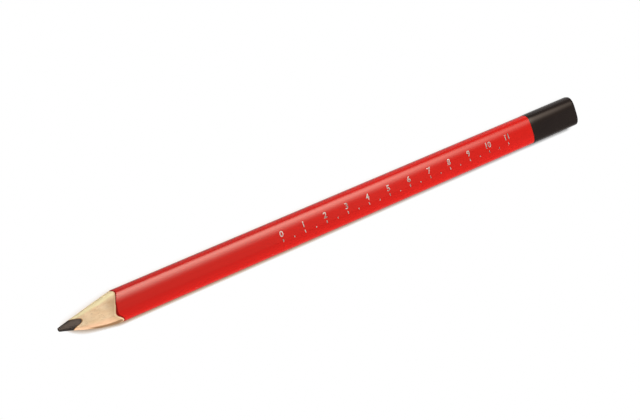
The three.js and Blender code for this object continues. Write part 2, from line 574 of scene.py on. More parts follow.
def finished_material(material, tree, inputs):
    shader = tree.node("ShaderNodeBsdfPrincipled", {}, inputs)
    tree.node("ShaderNodeOutputMaterial", {}, {"Surface": shader})
    print("made", material.name)
    return material


def rgb(red, green, blue):
    """A colour as a picture editor gives it, 0 to 255, in the linear values that shaders use."""
    linear = []
    for value in (red, green, blue):
        share = value / 255
        linear.append(share / 12.92 if share <= 0.04045 else ((share + 0.055) / 1.055) ** 2.4)
    return (*linear, 1.0)


print("a mid grey of 128 is", round(rgb(128, 128, 128)[0], 3), "in linear light")

# %% [markdown]
# ## Red lacquer
#
# Pencil lacquer goes on in several thin coats as the pencils are pushed through a bath and wiped
# by a rubber ring, so its faint unevenness is drawn out along the pencil. One noise, stretched
# that way, makes the streaks, and a second, rounder one the orange peel. Both are only a few
# thousandths of a millimetre high and show in the reflections alone. The gloss is a coat over
# the colour, as in the real stack of pigment and clear varnish, so the colour below it has no
# reflection of its own. Where the knife cut the lacquer, its edge is matt and darker. The
# surface's own direction tells where that is, because only the cut faces the point.

# %% Red lacquer
VARNISH = {"IOR": 1.5, "Specular IOR Level": 0.0, "Coat IOR": 1.5}


def red_lacquer_material():
    material, tree = new_material("red_lacquer_gloss")
    streaks = noise(tree, (0.03, 1.6, 1.6), 3.0, 0.55)
    peel = noise(tree, (0.5, 0.9, 0.9))
    clouds = noise(tree, (0.02, 0.12, 0.12))
    hairlines = smooth_step(noise(tree, (0.05, 9.0, 9.0), 1.0, 0.4), 0.66, 0.76)
    forward, _, _ = facing(tree)
    cut = smooth_step(-1.0 * forward, 0.04, 0.08)
    return finished_material(material, tree, {
        **VARNISH,
        "Base Color": layered(
            tree, (193, 28, 21), (clouds, (202, 31, 25)),
            (smooth_step(streaks, 0.3, 0.8) * 0.25, (187, 25, 20)), (cut, (134, 20, 16))),
        "Roughness": 0.30 + 0.1 * hairlines + 0.06 * clouds,
        "Coat Weight": 1.0 - 0.8 * cut,
        "Coat Roughness": 0.035,
        "Normal": bumps(tree, (streaks, 0.006), (peel, 0.010), (1 - hairlines, 0.0015)),
    })


RED = red_lacquer_material()

# %% [markdown]
# ## Black dip
#
# The end is dipped in thicker lacquer and hangs to dry. It is smoother than the red, with a very
# slow swell left by the running paint and a little dust.

# %% Black dip
def black_dip_material():
    material, tree = new_material("black_dip_gloss")
    swell = noise(tree, (0.10, 0.45, 0.45))
    peel = noise(tree, (0.7, 0.9, 0.9))
    dust = smooth_step(noise(tree, (3.2, 3.2, 3.2), 1.0), 0.74, 0.80)
    return finished_material(material, tree, {
        **VARNISH,
        "Base Color": layered(tree, (30, 24, 22), (swell, (38, 31, 28))),
        "Roughness": 0.35 + 0.15 * dust,
        "Coat Weight": 1.0,
        "Coat Roughness": 0.05,
        "Normal": bumps(tree, (swell, 0.022), (peel, 0.007), (dust, 0.006)),
    })


BLACK = black_dip_material()

# %% [markdown]
# ## Bare wood
#
# Wood is a solid texture: the tree's layers run through the case along its length, and the knife
# only uncovers them. So the pattern is worked out from the place in space, not painted round the
# taper, and the fibres run straight while the cut surface slants across them. On top come the
# growth layers, the fine fibres, the open pores as short dark dashes, and the faint ridges that
# the blade leaves across its stroke. Light and shade are painted in as well: the side that faces
# the softbox gets a painted highlight, pale and yellowish, and the side turned away a painted shade
# of peach. Towards the lacquer the wood is a little darker, and a painted brown shade runs along
# the steep near edge of the cut, which faces away from the light.

# %% Bare wood
LAYER_LEAN = (0.55, 0.84)  # the growth layers lie across this direction of y and z
LAYER_THICKNESS = 1.15
LAYER_WANDER = 1.7
DARKER_NEAR_LACQUER = (-100.5, -95.5)  # between these x, in millimetres, the wood turns darker
PAINTED_SHADE_BEGINS = (-111.0, -106.5)  # and between these the painted shade on the near edge begins


def wood_material(name, shift):
    material, tree = new_material(name)
    fibres = noise(tree, (0.10, 4.5, 4.5), 5.0, 0.62)
    threads = noise(tree, (0.35, 14.0, 14.0))
    clouds = noise(tree, (0.11, 0.28, 0.28))
    pores = smooth_step(noise(tree, (0.62, 6.0, 6.0), 1.0), 0.655, 0.72)
    flecks = smooth_step(noise(tree, (0.9, 3.0, 3.0), 1.0), 0.67, 0.76)
    strokes = noise(tree, (2.1, 0.22, 0.22))
    x, y, z = parts_of(tree, millimetres(tree))
    wander = noise(tree, (0.03, 0.25, 0.25), 1.0) * LAYER_WANDER
    layer = y * LAYER_LEAN[0] + z * LAYER_LEAN[1] + wander + shift
    growth = (layer * (2 * math.pi / LAYER_THICKNESS)).maths("SINE") * 0.5 + 0.5
    growth = growth ** 2.2
    _, sideways, _ = facing(tree)
    # painted highlight: the side that faces the softbox is made paler and yellower
    painted_highlight_side = smooth_step(sideways + 0.5 * clouds, 0.60, 0.95)
    # painted shade: the side turned away from the softbox is made a darker peach
    painted_shade_side = smooth_step(0.2 * clouds - sideways, 0.05, 0.40)
    darker_near_lacquer = smooth_step(x + 5.0 * clouds, *DARKER_NEAR_LACQUER) * (1 - painted_highlight_side)
    # painted shade: the steep near edge of the cut, which faces away from the light, is made brown
    stain_and_painted_shade = smooth_step(0.15 * fibres - sideways, 0.58, 0.72) * smooth_step(x, *PAINTED_SHADE_BEGINS)
    colour = layered(
        tree, (247, 211, 168),
        (smooth_step(clouds, 0.25, 0.75), (254, 230, 194)),
        (growth * 0.30, (224, 186, 138)),
        (smooth_step(fibres, 0.35, 0.75) * 0.36, (226, 188, 142)),
        (smooth_step(threads, 0.55, 0.85) * 0.20, (246, 226, 186)),
        (flecks * 0.35, (250, 230, 192)),
        (pores * 0.55, (136, 92, 52)),
        (painted_highlight_side * (0.55 + 0.45 * fibres), (254, 247, 200)),
        (painted_shade_side, (238, 194, 156)),
        (darker_near_lacquer * 0.8, (202, 166, 128)),
        (stain_and_painted_shade, (142, 108, 76)))
    relief = bumps(tree, (strokes, 0.020), (fibres, 0.030), (threads, 0.012), (1 - pores, 0.030))
    return finished_material(material, tree, {
        "Base Color": colour,
        "Roughness": 0.62 + 0.16 * fibres,
        "IOR": 1.45,
        "Specular IOR Level": 0.35,
        "Normal": relief,
    })


UPPER_WOOD = wood_material("case_wood_upper", 0.0)
LOWER_WOOD = wood_material("case_wood_lower", 0.43)

# %% [markdown]
# ## Lead
#
# The lead is graphite and clay, fired hard. Scraped with a blade it turns satin and slightly
# metallic, with fine lines along the stroke and tiny torn pits. A metal alone would be too bright,
# so the material is only partly metallic.

# %% Lead
LEAD_RIM = (1.62, 1.98)  # between these distances from the axis the lead turns darker


def lead_material():
    material, tree = new_material("graphite_lead")
    scrapes = noise(tree, (0.22, 7.0, 7.0), 4.0, 0.6)
    grains = noise(tree, (6.0, 9.0, 9.0), 2.0, 0.6)
    pits = smooth_step(noise(tree, (1.6, 4.0, 4.0), 1.0), 0.66, 0.74)
    patches = noise(tree, (0.5, 0.9, 0.9))
    _, y, z = parts_of(tree, millimetres(tree))
    radius = (y * y + z * z).maths("SQRT")
    colour = layered(
        tree, (72, 66, 64),
        (smooth_step(scrapes, 0.3, 0.75), (92, 86, 83)),
        (smooth_step(patches, 0.35, 0.7) * 0.35, (64, 58, 55)),
        (pits * 0.7, (34, 30, 29)),
        (smooth_step(radius, *LEAD_RIM) * 0.7, (44, 36, 32)))
    return finished_material(material, tree, {
        "Base Color": colour,
        "Metallic": 0.35,
        "Roughness": 0.40 + 0.22 * grains,
        "IOR": 1.7,
        "Normal": bumps(tree, (scrapes, 0.016), (grains, 0.006), (1 - pits, 0.020)),
    })


LEAD = lead_material()

# %% [markdown]
# ## Glue and primer
#
# The glue is a thin amber film, and the primer a dull cream coat. Both show only as fine lines
# where the point was cut, so one soft noise is enough for each.

# %% Glue and primer
def glue_material():
    material, tree = new_material("glue_film")
    cloud = noise(tree, (0.4, 2.0, 2.0), 3.0, 0.55)
    return finished_material(material, tree, {
        "Base Color": layered(tree, (150, 106, 62), (cloud, (196, 150, 98))),
        "Roughness": 0.4 + 0.2 * cloud,
        "Normal": bumps(tree, (cloud, 0.008)),
    })


def primer_material():
    material, tree = new_material("cream_primer")
    chalk = noise(tree, (3.0, 3.0, 3.0), 3.0, 0.6)
    stain_and_painted_shade = noise(tree, (0.3, 0.6, 0.6))
    chalky = smooth_step(chalk, 0.5, 0.8) * 0.3
    return finished_material(material, tree, {
        "Base Color": layered(
            tree, (222, 188, 146), (stain_and_painted_shade, (234, 204, 164)), (chalky, (226, 190, 160))),
        "Roughness": 0.7 + 0.15 * chalk,
        "Normal": bumps(tree, (chalk, 0.008)),
    })


GLUE = glue_material()
PRIMER = primer_material()

# %% [markdown]
# ## Stamped foil
#
# The scale on the broad face is hot-stamped metal foil. It is bright and a little tarnished, its
# surface takes up the lacquer's unevenness, and it breaks where the stamp pressed lightly. The
# breaks are holes in its alpha, through which the lacquer shows.

# %% Stamped foil
def foil_material():
    material, tree = new_material("stamped_foil")
    dimples = noise(tree, (2.2, 2.2, 2.2), 3.0, 0.55)
    wear = noise(tree, (1.4, 2.6, 2.6), 4.0, 0.65)
    tarnish = smooth_step(noise(tree, (0.5, 0.9, 0.9)), 0.45, 0.66) * 0.6
    return finished_material(material, tree, {
        "Base Color": layered(
            tree, (198, 198, 204), (dimples, (230, 230, 234)), (tarnish, (132, 118, 110))),
        "Metallic": 1.0,
        "Roughness": 0.30 + 0.16 * dimples,
        "Alpha": smooth_step(wear, 0.24, 0.32),
        "Normal": bumps(tree, (dimples, 0.012)),
    })


FOIL = foil_material()

# %% [markdown]
# ## The lead
#
# The lead is a round rod, cut with the rest of the point. A cylinder would need that cut made
# afterwards. As a layer with a circle outside, which reaches the axis, it gets the cut at once.

# %% The lead
LEAD_RIBS = 220
lead_ribs, lead_sharp = layer_ribs(
    circle(full_turn(LEAD_RIBS), LEAD_RADIUS), None, case_back, rows=(90, 12, 8, 0))
lead_mesh = mesh_of("lead", [(lead_ribs, lead_sharp[:2], True, False)])
finished_piece("lead", lead_mesh, LEAD, "lead", "lead_core")

# %% [markdown]
# ## The two slats
#
# The case is glued together from two grooved slats. Each is half of a layer: its outer line is the
# upper or lower half of the oval, and its inner line is the groove. The two lines are cut off at
# the thin gap that the glue fills.

# %% The two slats
SLAT_RIBS = 180
GROOVE_RADIUS = SLEEVE_RADIUS + CLEARANCE


def slat_strip(half):
    """The ribs of a slat: half is 1 for the upper one and -1 for the lower one."""
    angles = half * np.linspace(0, math.pi, SLAT_RIBS)
    outer = barrel(angles, WOOD_DEPTH)
    outer[:, 1] = half * np.maximum(half * outer[:, 1], SLAT_GAP)
    lift = math.asin(SLAT_GAP / GROOVE_RADIUS)
    inner = circle(half * np.linspace(lift, math.pi - lift, SLAT_RIBS), GROOVE_RADIUS)
    ribs, sharp = layer_ribs(outer, inner, case_back, rows=(120, 24, 16, 8))
    return ribs, sharp, False, True


upper_mesh = mesh_of("upper_slat", [slat_strip(1)])
finished_piece("upper_slat", upper_mesh, UPPER_WOOD, "case_wood", "slat_upper")
lower_mesh = mesh_of("lower_slat", [slat_strip(-1)])
finished_piece("lower_slat", lower_mesh, LOWER_WOOD, "case_wood", "slat_lower")

# %% [markdown]
# ## The glue
#
# The glue has three parts: a sleeve round the lead, and a film to each side of it between the
# slats. They are made as three strips of ribs in one mesh.

# %% The glue
FILM_RIBS = 40


def film_strip(hand):
    """The film on one side of the lead, as a stack of an upper and a lower line."""
    half_film = SLAT_GAP - CLEARANCE
    y = hand * np.linspace(SLEEVE_RADIUS, HALF_WIDTH - WOOD_DEPTH, FILM_RIBS)
    upper = np.stack([y, np.full_like(y, half_film)], axis=-1)
    lower = np.stack([y, np.full_like(y, -half_film)], axis=-1)
    ribs, sharp = layer_ribs(upper, lower, case_back, rows=(2, 10, 2, 10))
    return ribs, sharp, False, True


sleeve_turn = full_turn(LEAD_RIBS)
sleeve_ribs, sleeve_sharp = layer_ribs(
    circle(sleeve_turn, SLEEVE_RADIUS), circle(sleeve_turn, LEAD_RADIUS + CLEARANCE),
    case_back, rows=(3, 10, 2, 10))
sleeve_strip = (sleeve_ribs, sleeve_sharp, True, True)
glue_mesh = mesh_of("glue", [sleeve_strip, film_strip(1), film_strip(-1)])
finished_piece("glue", glue_mesh, GLUE, "glue", "glue_line")

# %% [markdown]
# ## The coats
#
# The primer and the lacquer are thin tubes over the case. Their cut edge at the shoulder shows
# how thin they are, and the knife leaves it as a clean, slightly scalloped line.

# %% The primer and the lacquer
COAT_RIBS = 360


def coat_mesh(name, outer_depth, inner_depth, rows):
    turn = full_turn(COAT_RIBS)
    ribs, sharp = layer_ribs(barrel(turn, outer_depth), barrel(turn, inner_depth), coat_back, rows)
    return mesh_of(name, [(ribs, sharp, True, True)])


primer_mesh = coat_mesh("primer", PRIMER_DEPTH, PRIMER_DEPTH + PRIMER_THICKNESS, (3, 40, 2, 10))
finished_piece("primer", primer_mesh, PRIMER, "primer", "primer_coat")
lacquer_mesh = coat_mesh("lacquer", 0.0, LACQUER_THICKNESS, (3, 100, 2, 20))
finished_piece("lacquer", lacquer_mesh, RED, "lacquer_red", "red_lacquer")

# %% [markdown]
# ## The dip, grown by Geometry Nodes
#
# The dip's shape follows a rule from its mouth to its end: the barrel's oval, a little larger,
# runs straight and then shrinks over a quarter circle to the flat end. Its inside follows the
# same rule with other sizes. So it is grown by Geometry Nodes: a plain grid gives rows and
# columns, the formulas turn a row into a place along the dip and a column into an angle round
# it, and Set Position puts every point there. The sizes are named inputs of the tree, so the
# modifier could grow the dip of any other pencil.

# %% Grow the dip
DIP_ROWS = {"straight": 30, "round": 12, "face": 14}
DIP_COLUMNS = 241
LIP_ROWS = 3
LIP_DROP = 0.035  # the dip is this much thinner at its mouth
DIP_DOME = 0.03  # drying paint leaves the end face slightly domed
DIP_CREASE = math.radians(40)  # a sharper edge than this stays sharp
MERGE_DISTANCE = 1e-7
ROUNDING_GUARD = 1e-4  # added before rounding down, so that a whole number stays itself


def tree_with_inputs(name, inputs):
    """A Geometry Nodes tree with named number inputs, and the wires that carry them."""
    group = bpy.data.node_groups.new(name, "GeometryNodeTree")
    group.interface.new_socket("Geometry", in_out="INPUT", socket_type="NodeSocketGeometry")
    for label, value in inputs.items():
        socket = group.interface.new_socket(label, in_out="INPUT", socket_type="NodeSocketFloat")
        socket.default_value = value
    group.interface.new_socket("Geometry", in_out="OUTPUT", socket_type="NodeSocketGeometry")
    tree = Tree(group)
    source = tree.node("NodeGroupInput")
    return group, tree, {label: source.output(label) for label in inputs}


def end_tree(tree, geometry, material):
    """Ends a tree with real geometry, not instances, and with its material."""
    real = tree.node("GeometryNodeRealizeInstances", {}, {"Geometry": geometry})
    dressed = tree.node("GeometryNodeSetMaterial", {}, {"Geometry": real, "Material": material})
    tree.node("NodeGroupOutput", {}, {"Geometry": dressed})


def between(low, high, share):
    return low + (high - low) * share


def dip_tree(material):
    sizes = {
        "Mouth": DIP_X * MM, "End": END_X * MM, "Inner End": (CASE_END_X + CLEARANCE) * MM,
        "Half Width": HALF_WIDTH * MM, "Half Thickness": HALF_THICKNESS * MM,
        "Half Flat": HALF_FLAT * MM, "Fullness": FULLNESS, "Axis Height": AXIS_HEIGHT * MM,
        "Thickness": DIP_THICKNESS * MM, "Clearance": CLEARANCE * MM,
        "Inner Radius": (CASE_END_RADIUS + WOOD_DEPTH) * MM, "Lip Drop": LIP_DROP * MM,
        "Dome": DIP_DOME * MM,
    }
    group, tree, size = tree_with_inputs("grow_dip", sizes)
    depth_rows = sum(DIP_ROWS.values())
    rows = 2 * (depth_rows + 1)
    grid = tree.node("GeometryNodeMeshGrid", {}, {
        "Size X": 1.0, "Size Y": 1.0, "Vertices X": DIP_COLUMNS, "Vertices Y": rows}, "Mesh")
    index = tree.node("GeometryNodeInputIndex")
    column = (index / rows + ROUNDING_GUARD).maths("FLOOR")
    row = index - column * rows
    outside = row.maths("GREATER_THAN", depth_rows + 0.5)
    along = row.maths("SUBTRACT", depth_rows + 0.5).maths("ABSOLUTE") - 0.5
    straight_rows, round_rows, face_rows = DIP_ROWS.values()
    straight = (along / straight_rows).maths("MINIMUM", 1.0)
    turned = ((along - straight_rows) / round_rows).maths("MINIMUM", 1.0)
    quarter = turned.maths("MAXIMUM", 0.0) * (math.pi / 2)
    shrink = 1 - ((along - (straight_rows + round_rows)) / face_rows).maths("MAXIMUM", 0.0)
    radius = size["Inner Radius"] + outside * size["Thickness"]
    end = between(size["Inner End"], size["End"] - size["Dome"], outside)
    lip = (1 - (along / LIP_ROWS).maths("MINIMUM", 1.0)) ** 2.0
    grown = between(size["Clearance"], size["Thickness"] - lip * size["Lip Drop"], outside)
    inset = radius * (1 - quarter.maths("COSINE")) - grown
    x = between(size["Mouth"], end - radius, straight) + radius * quarter.maths("SINE")
    x = x + outside * size["Dome"] * (1 - shrink * shrink)
    angle = column * (2 * math.pi / (DIP_COLUMNS - 1))
    across, up = angle.maths("COSINE"), angle.maths("SINE")
    power = 2.0 * size["Fullness"] ** -1.0
    reach = size["Half Width"] - inset - size["Half Flat"]
    y = across.maths("SIGN") * (size["Half Flat"] + reach * across.maths("ABSOLUTE") ** power)
    z = up.maths("SIGN") * (size["Half Thickness"] - inset) * up.maths("ABSOLUTE") ** power
    place = tree.node("ShaderNodeCombineXYZ", {}, {
        "X": x, "Y": y * shrink, "Z": z * shrink + size["Axis Height"]})
    placed = tree.node("GeometryNodeSetPosition", {}, {"Geometry": grid, "Position": place})
    closed = tree.node("GeometryNodeMergeByDistance", {}, {
        "Geometry": placed, "Distance": MERGE_DISTANCE})
    end_tree(tree, closed, material)
    return group, sizes


def evaluated_mesh(holder):
    """What an object's modifiers or its text come to, as a plain mesh."""
    evaluated = holder.evaluated_get(bpy.context.evaluated_depsgraph_get())
    return bpy.data.meshes.new_from_object(evaluated)


def grown_mesh(name, group, values):
    """Runs a Geometry Nodes tree once and returns what it grew as a plain mesh."""
    seed = in_scene(name + "_seed", bpy.data.meshes.new(name + "_seed"))
    modifier = seed.modifiers.new("grow", "NODES")
    modifier.node_group = group
    for item in group.interface.items_tree:
        if item.item_type == "SOCKET" and item.in_out == "INPUT" and item.name in values:
            modifier[item.identifier] = values[item.name]
    mesh = evaluated_mesh(seed)
    seed.modifiers.remove(modifier)
    bpy.data.objects.remove(seed)
    mesh.name = name
    if signed_volume(mesh) < 0:
        mesh.flip_normals()
    return mesh


dip_group, dip_sizes = dip_tree(BLACK)
dip_mesh = grown_mesh("dip", dip_group, dip_sizes)
dip_mesh.shade_smooth()
dip_mesh.set_sharp_from_angle(angle=DIP_CREASE)
finished_piece("dip", dip_mesh, BLACK, "lacquer_black", "black_dip")
print(f"the dip encloses {signed_volume(dip_mesh) / MM ** 3:.1f} cubic millimetres of lacquer")

# %% [markdown]
# ## The foil scale
#
# The broad face carries a plain scale in centimetres and halves, stamped in silver. The ticks
# repeat by a rule, so Geometry Nodes make them: points on a line, a small block on each, and a
# length that depends on the point's number. Each stamp is then laid on the lacquer, point by
# point, because the broad face is flat only in its middle.

# %% The ticks
SCALE_START_X = -27.0
SCALE_STEP = 5.0
SCALE_COUNT = 23
TICK_WIDTH = 0.42
TICK_LENGTHS = {"half": 0.6, "whole": 1.1}
TICK_BASE_Y = -2.05
FOIL_THICKNESS = 0.03
FOIL_PROUD = 0.012


def tick_tree(material):
    sizes = {
        "Start": SCALE_START_X * MM, "Step": SCALE_STEP * MM, "Count": float(SCALE_COUNT),
        "Width": TICK_WIDTH * MM, "Thickness": FOIL_THICKNESS * MM, "Base": TICK_BASE_Y * MM,
        "Short": TICK_LENGTHS["half"] * MM, "Long": TICK_LENGTHS["whole"] * MM,
    }
    group, tree, size = tree_with_inputs("grow_ticks", sizes)
    start = tree.node("ShaderNodeCombineXYZ", {}, {"X": size["Start"], "Y": size["Base"]})
    step = tree.node("ShaderNodeCombineXYZ", {}, {"X": size["Step"]})
    count = tree.node("FunctionNodeFloatToInt", {}, {"Float": size["Count"]})
    line = tree.node("GeometryNodeMeshLine", {}, {
        "Count": count, "Start Location": start, "Offset": step})
    index = tree.node("GeometryNodeInputIndex")
    whole = index.maths("MODULO", 2.0).maths("LESS_THAN", 0.5)
    length = between(size["Short"], size["Long"], whole)
    block = tree.node("GeometryNodeMeshCube", {}, {
        "Size": (1.0, 1.0, 1.0), "Vertices X": 2, "Vertices Y": 5, "Vertices Z": 2}, "Mesh")
    lifted = tree.node("GeometryNodeTransform", {}, {"Geometry": block, "Translation": (0, 0.5, 0)})
    shape = tree.node("ShaderNodeCombineXYZ", {}, {
        "X": size["Width"], "Y": length, "Z": size["Thickness"]})
    stamped = tree.node("GeometryNodeInstanceOnPoints", {}, {
        "Points": line, "Instance": lifted, "Scale": shape})
    end_tree(tree, stamped, material)
    return group, sizes


def face_height(y):
    """The height of the lacquer's upper face over a place across the barrel."""
    reach = np.maximum(np.abs(y) - HALF_FLAT, 0) / (HALF_WIDTH - HALF_FLAT)
    return AXIS_HEIGHT + HALF_THICKNESS * (1 - reach**FULLNESS) ** (1 / FULLNESS)


def lay_on_face(mesh):
    """Lays a flat stamp on the lacquer: its top stands proud, its foot is sunk a little."""
    places = places_of(mesh)
    top = face_height(places[:, 1] / MM) + FOIL_PROUD - FOIL_THICKNESS / 2
    places[:, 2] += top * MM
    mesh.vertices.foreach_set("co", places.reshape(-1))
    mesh.update()


tick_group, tick_sizes = tick_tree(FOIL)
tick_mesh = grown_mesh("foil_ticks", tick_group, tick_sizes)
lay_on_face(tick_mesh)
finished_piece("foil_ticks", tick_mesh, FOIL, "foil")

# %% [markdown]
# The digits could be drawn as curves, but Blender's own font already has plain ones. Each number
# is a text object, made bolder because foil spreads under the stamp, and then turned into a mesh.
# Its long strokes have points only at their ends, so they are cut across before they are bent.

# %% The numbers
DIGIT_HEIGHT = 2.4
DIGIT_BASE_Y = 0.10
DIGIT_BOLDNESS = 0.06  # the stamp spreads each stroke by this much to each side
CURVE_STEPS = 6
CUT_STEP = 0.4
CAP_SHARE = 0.73  # the height of a digit as a share of the text's size
TICKS_PER_NUMBER = 2


def cut_across(mesh):
    """Cuts long strokes across, so that they have points enough to bend over the face."""
    work = bmesh.new()
    work.from_mesh(mesh)
    for y in np.arange(DIGIT_BASE_Y, DIGIT_BASE_Y + DIGIT_HEIGHT, CUT_STEP):
        everything = work.verts[:] + work.edges[:] + work.faces[:]
        bmesh.ops.bisect_plane(work, geom=everything, plane_co=(0, y * MM, 0), plane_no=(0, 1, 0))
    work.to_mesh(mesh)
    work.free()
    return mesh


def number_mesh(number, x):
    """One number as a thin solid, standing on the digits' base line at x."""
    text = bpy.data.curves.new(f"number_{number}", "FONT")
    text.body = str(number)
    text.align_x = "CENTER"
    text.size = DIGIT_HEIGHT * MM / CAP_SHARE
    text.extrude = FOIL_THICKNESS / 2 * MM
    text.offset = DIGIT_BOLDNESS * MM
    text.resolution_u = CURVE_STEPS
    holder = in_scene(text.name, text)
    mesh = evaluated_mesh(holder)
    bpy.data.objects.remove(holder)
    mesh.transform(Matrix.Translation((x * MM, DIGIT_BASE_Y * MM, 0)))
    return cut_across(mesh)


def joined(name, meshes):
    """Several meshes as one."""
    points, faces = [], []
    for mesh in meshes:
        start = len(points)
        points += [tuple(vertex.co) for vertex in mesh.vertices]
        faces += [tuple(start + corner for corner in face.vertices) for face in mesh.polygons]
    whole = bpy.data.meshes.new(name)
    whole.from_pydata(points, [], faces)
    return whole


number_step = TICKS_PER_NUMBER * SCALE_STEP
number_count = SCALE_COUNT // TICKS_PER_NUMBER + 1
numbers = [number_mesh(k, SCALE_START_X + number_step * k) for k in range(number_count)]
number_whole = joined("foil_numbers", numbers)
lay_on_face(number_whole)
finished_piece("foil_numbers", number_whole, FOIL, "foil")

# %% [markdown]
# ## Floor and light
#
# The picture is a studio shot on white, and three things light it. A large softbox leans over the
# pencil from the far side. Its mirror image in the lacquer is the long pale band on the barrel,
# so its outline decides where the band starts and ends, and its fading brightness makes the band
# fade. A lower fill lamp on the near side opens up the flank, and a dim world lifts the rest.
#
# The floor is white paper. In the picture its background was exposed to pure white, so the camera
# sees plain white in the open. Close to the pencil, where little of the room's light gets in, the
# camera sees a painted shadow: an occlusion node tells how closed in a place is, and there the
# white gives way to the paper itself with the pencil's shadow, drawn darker than the pencil is lit
# by it and with a painted warm tint of light bounced off the wood and the lacquer. The lacquer
# mirrors a much dimmer floor and room, as it does in the photograph, or its near side would turn
# from red to pink.

# %% The floor
WHITE = (1.0, 1.0, 1.0, 1.0)
FLOOR_HALF = 3.0
SHADOW_REACH = {"barrel": 0.0032, "tip": 0.0042}  # how far the occlusion node looks about
POINT_RISES = (-0.112, -0.098)  # between these x, in metres, the point leaves the paper
SHADOW_BEGINS = (-0.1225, -0.1125)  # between these the shadow grows to its full width
SHADOW_LEAN = 0.94  # it looks towards the softbox, which casts the shadow
SHADOW_SAMPLES = 16
SHADOW_DARKEST = 0.49  # the open share at which the camera sees plain paper
SHADOW_FADE = 1.3  # above 1 the plain white begins further out
BOUNCED = (1.0, 0.66, 0.32, 1.0)  # painted tint of light off the wood and the lacquer
BOUNCE_ENDS = (-0.05, 0.11)  # between these it fades out, as the black dip gives none
PAPER = (0.85, 0.68, 0.56, 1.0)  # as the pencil is lit by it
SHADED_PAPER = (0.42, 0.42, 0.42, 1.0)  # as the camera sees it in the painted shadow
MIRRORED_FLOOR = 0.35


def floor_material():
    material, tree = new_material("white_floor")
    seen = tree.node("ShaderNodeLightPath", output="Is Camera Ray")
    mirrored = seen.output("Is Glossy Ray")
    x, _, _ = parts_of(tree, tree.node("ShaderNodeTexCoord", output="Object"))
    raised = 1 - smooth_step(x, *POINT_RISES)
    reach = SHADOW_REACH["barrel"] + raised * (SHADOW_REACH["tip"] - SHADOW_REACH["barrel"])
    reach = reach * (0.5 + 0.5 * smooth_step(x, *SHADOW_BEGINS))
    lean = tree.node("ShaderNodeCombineXYZ", {}, {
        "Y": SHADOW_LEAN, "Z": math.sqrt(1 - SHADOW_LEAN**2)})
    open_share = tree.node("ShaderNodeAmbientOcclusion", {"samples": SHADOW_SAMPLES}, {
        "Distance": reach, "Normal": lean}, "AO")
    openness = ((open_share - SHADOW_DARKEST) / (1 - SHADOW_DARKEST)).maths("MAXIMUM", 0.0)
    # painted warm tint of bounced light, fading out towards the dip
    bounced = mix_colour(tree, smooth_step(x, *BOUNCE_ENDS), BOUNCED, WHITE)
    tint = mix_colour(tree, openness, bounced, WHITE)
    # painted shadow: the camera sees the paper darker than the pencil is lit by it
    shaded = mix_colour(tree, 1.0, SHADED_PAPER, bounced, "MULTIPLY")
    paper = tree.node("ShaderNodeBsdfDiffuse", {}, {"Color": mix_colour(tree, seen, PAPER, shaded)})
    white = tree.node("ShaderNodeEmission", {}, {"Color": tint, "Strength": 1.0})
    dim = tree.node("ShaderNodeBsdfDiffuse", {}, {"Color": (*[MIRRORED_FLOOR] * 3, 1)})
    # painted shadow: the camera's white fades into the shaded paper where the place is closed in
    exposed = seen * openness ** SHADOW_FADE
    bright = tree.node("ShaderNodeMixShader", {}, {0: exposed, 1: paper, 2: white})
    both = tree.node("ShaderNodeMixShader", {}, {0: mirrored, 1: bright, 2: dim})
    tree.node("ShaderNodeOutputMaterial", {}, {"Surface": both})
    return material


def staged_sheet(name, corners, material):
    """A flat sheet of the studio, which isn't part of the pencil."""
    mesh = bpy.data.meshes.new(name)
    mesh.from_pydata(corners, [], [tuple(range(len(corners)))])
    mesh.materials.append(material)
    sheet = in_scene(name, mesh)
    return sheet


square = ((-1, -1), (1, -1), (1, 1), (-1, 1))
floor_corners = [(x * FLOOR_HALF, y * FLOOR_HALF, 0.0) for x, y in square]
floor = staged_sheet("floor", floor_corners, floor_material())
print("the floor is", 2 * FLOOR_HALF, "m wide")

# %% [markdown]
# The lacquer mirrors a sheet that glows most along one line and fades away from it. A lamp's own
# panel is evenly bright, so the sheet shows only in reflections, and a lamp in the same place
# gives the light. The sheet lies in a plane that leans over the pencil at 45 degrees. Its glow
# ends softly on an arc, which narrows the band in the lacquer to a thin line at the blunt end.

# %% The softbox
SOFTBOX_LEAN = 0.750  # the panel lies in the plane where y + z is this many metres
SOFTBOX_SPAN = (-0.06, 0.76)
SOFTBOX_SLIDE = (-0.90, 0.50)
SOFTBOX_HOT_SLIDE = -0.017  # the line along which it glows most
SOFTBOX_SPREAD = 0.293  # the distance from that line at which it glows 0.6 times as much
SOFTBOX_ARC = {"middle": (-0.109, -1.50), "radii": (0.797, 1.828), "soft": 0.147}
SOFTBOX_STEPS = 24
SOFTBOX_STRENGTH = 6.1
SOFTBOX_MIRRORED = (1.18, 0.97, 0.80, 1.0)
MIRRORED_ROOM = 0.12  # how bright the room is in the pencil's reflections


def on_softbox(x, slide):
    """A point of the leaning panel: slide runs down it, from the top edge to the bottom one."""
    return (x, SOFTBOX_LEAN / 2 + slide / math.sqrt(2), SOFTBOX_LEAN / 2 - slide / math.sqrt(2))


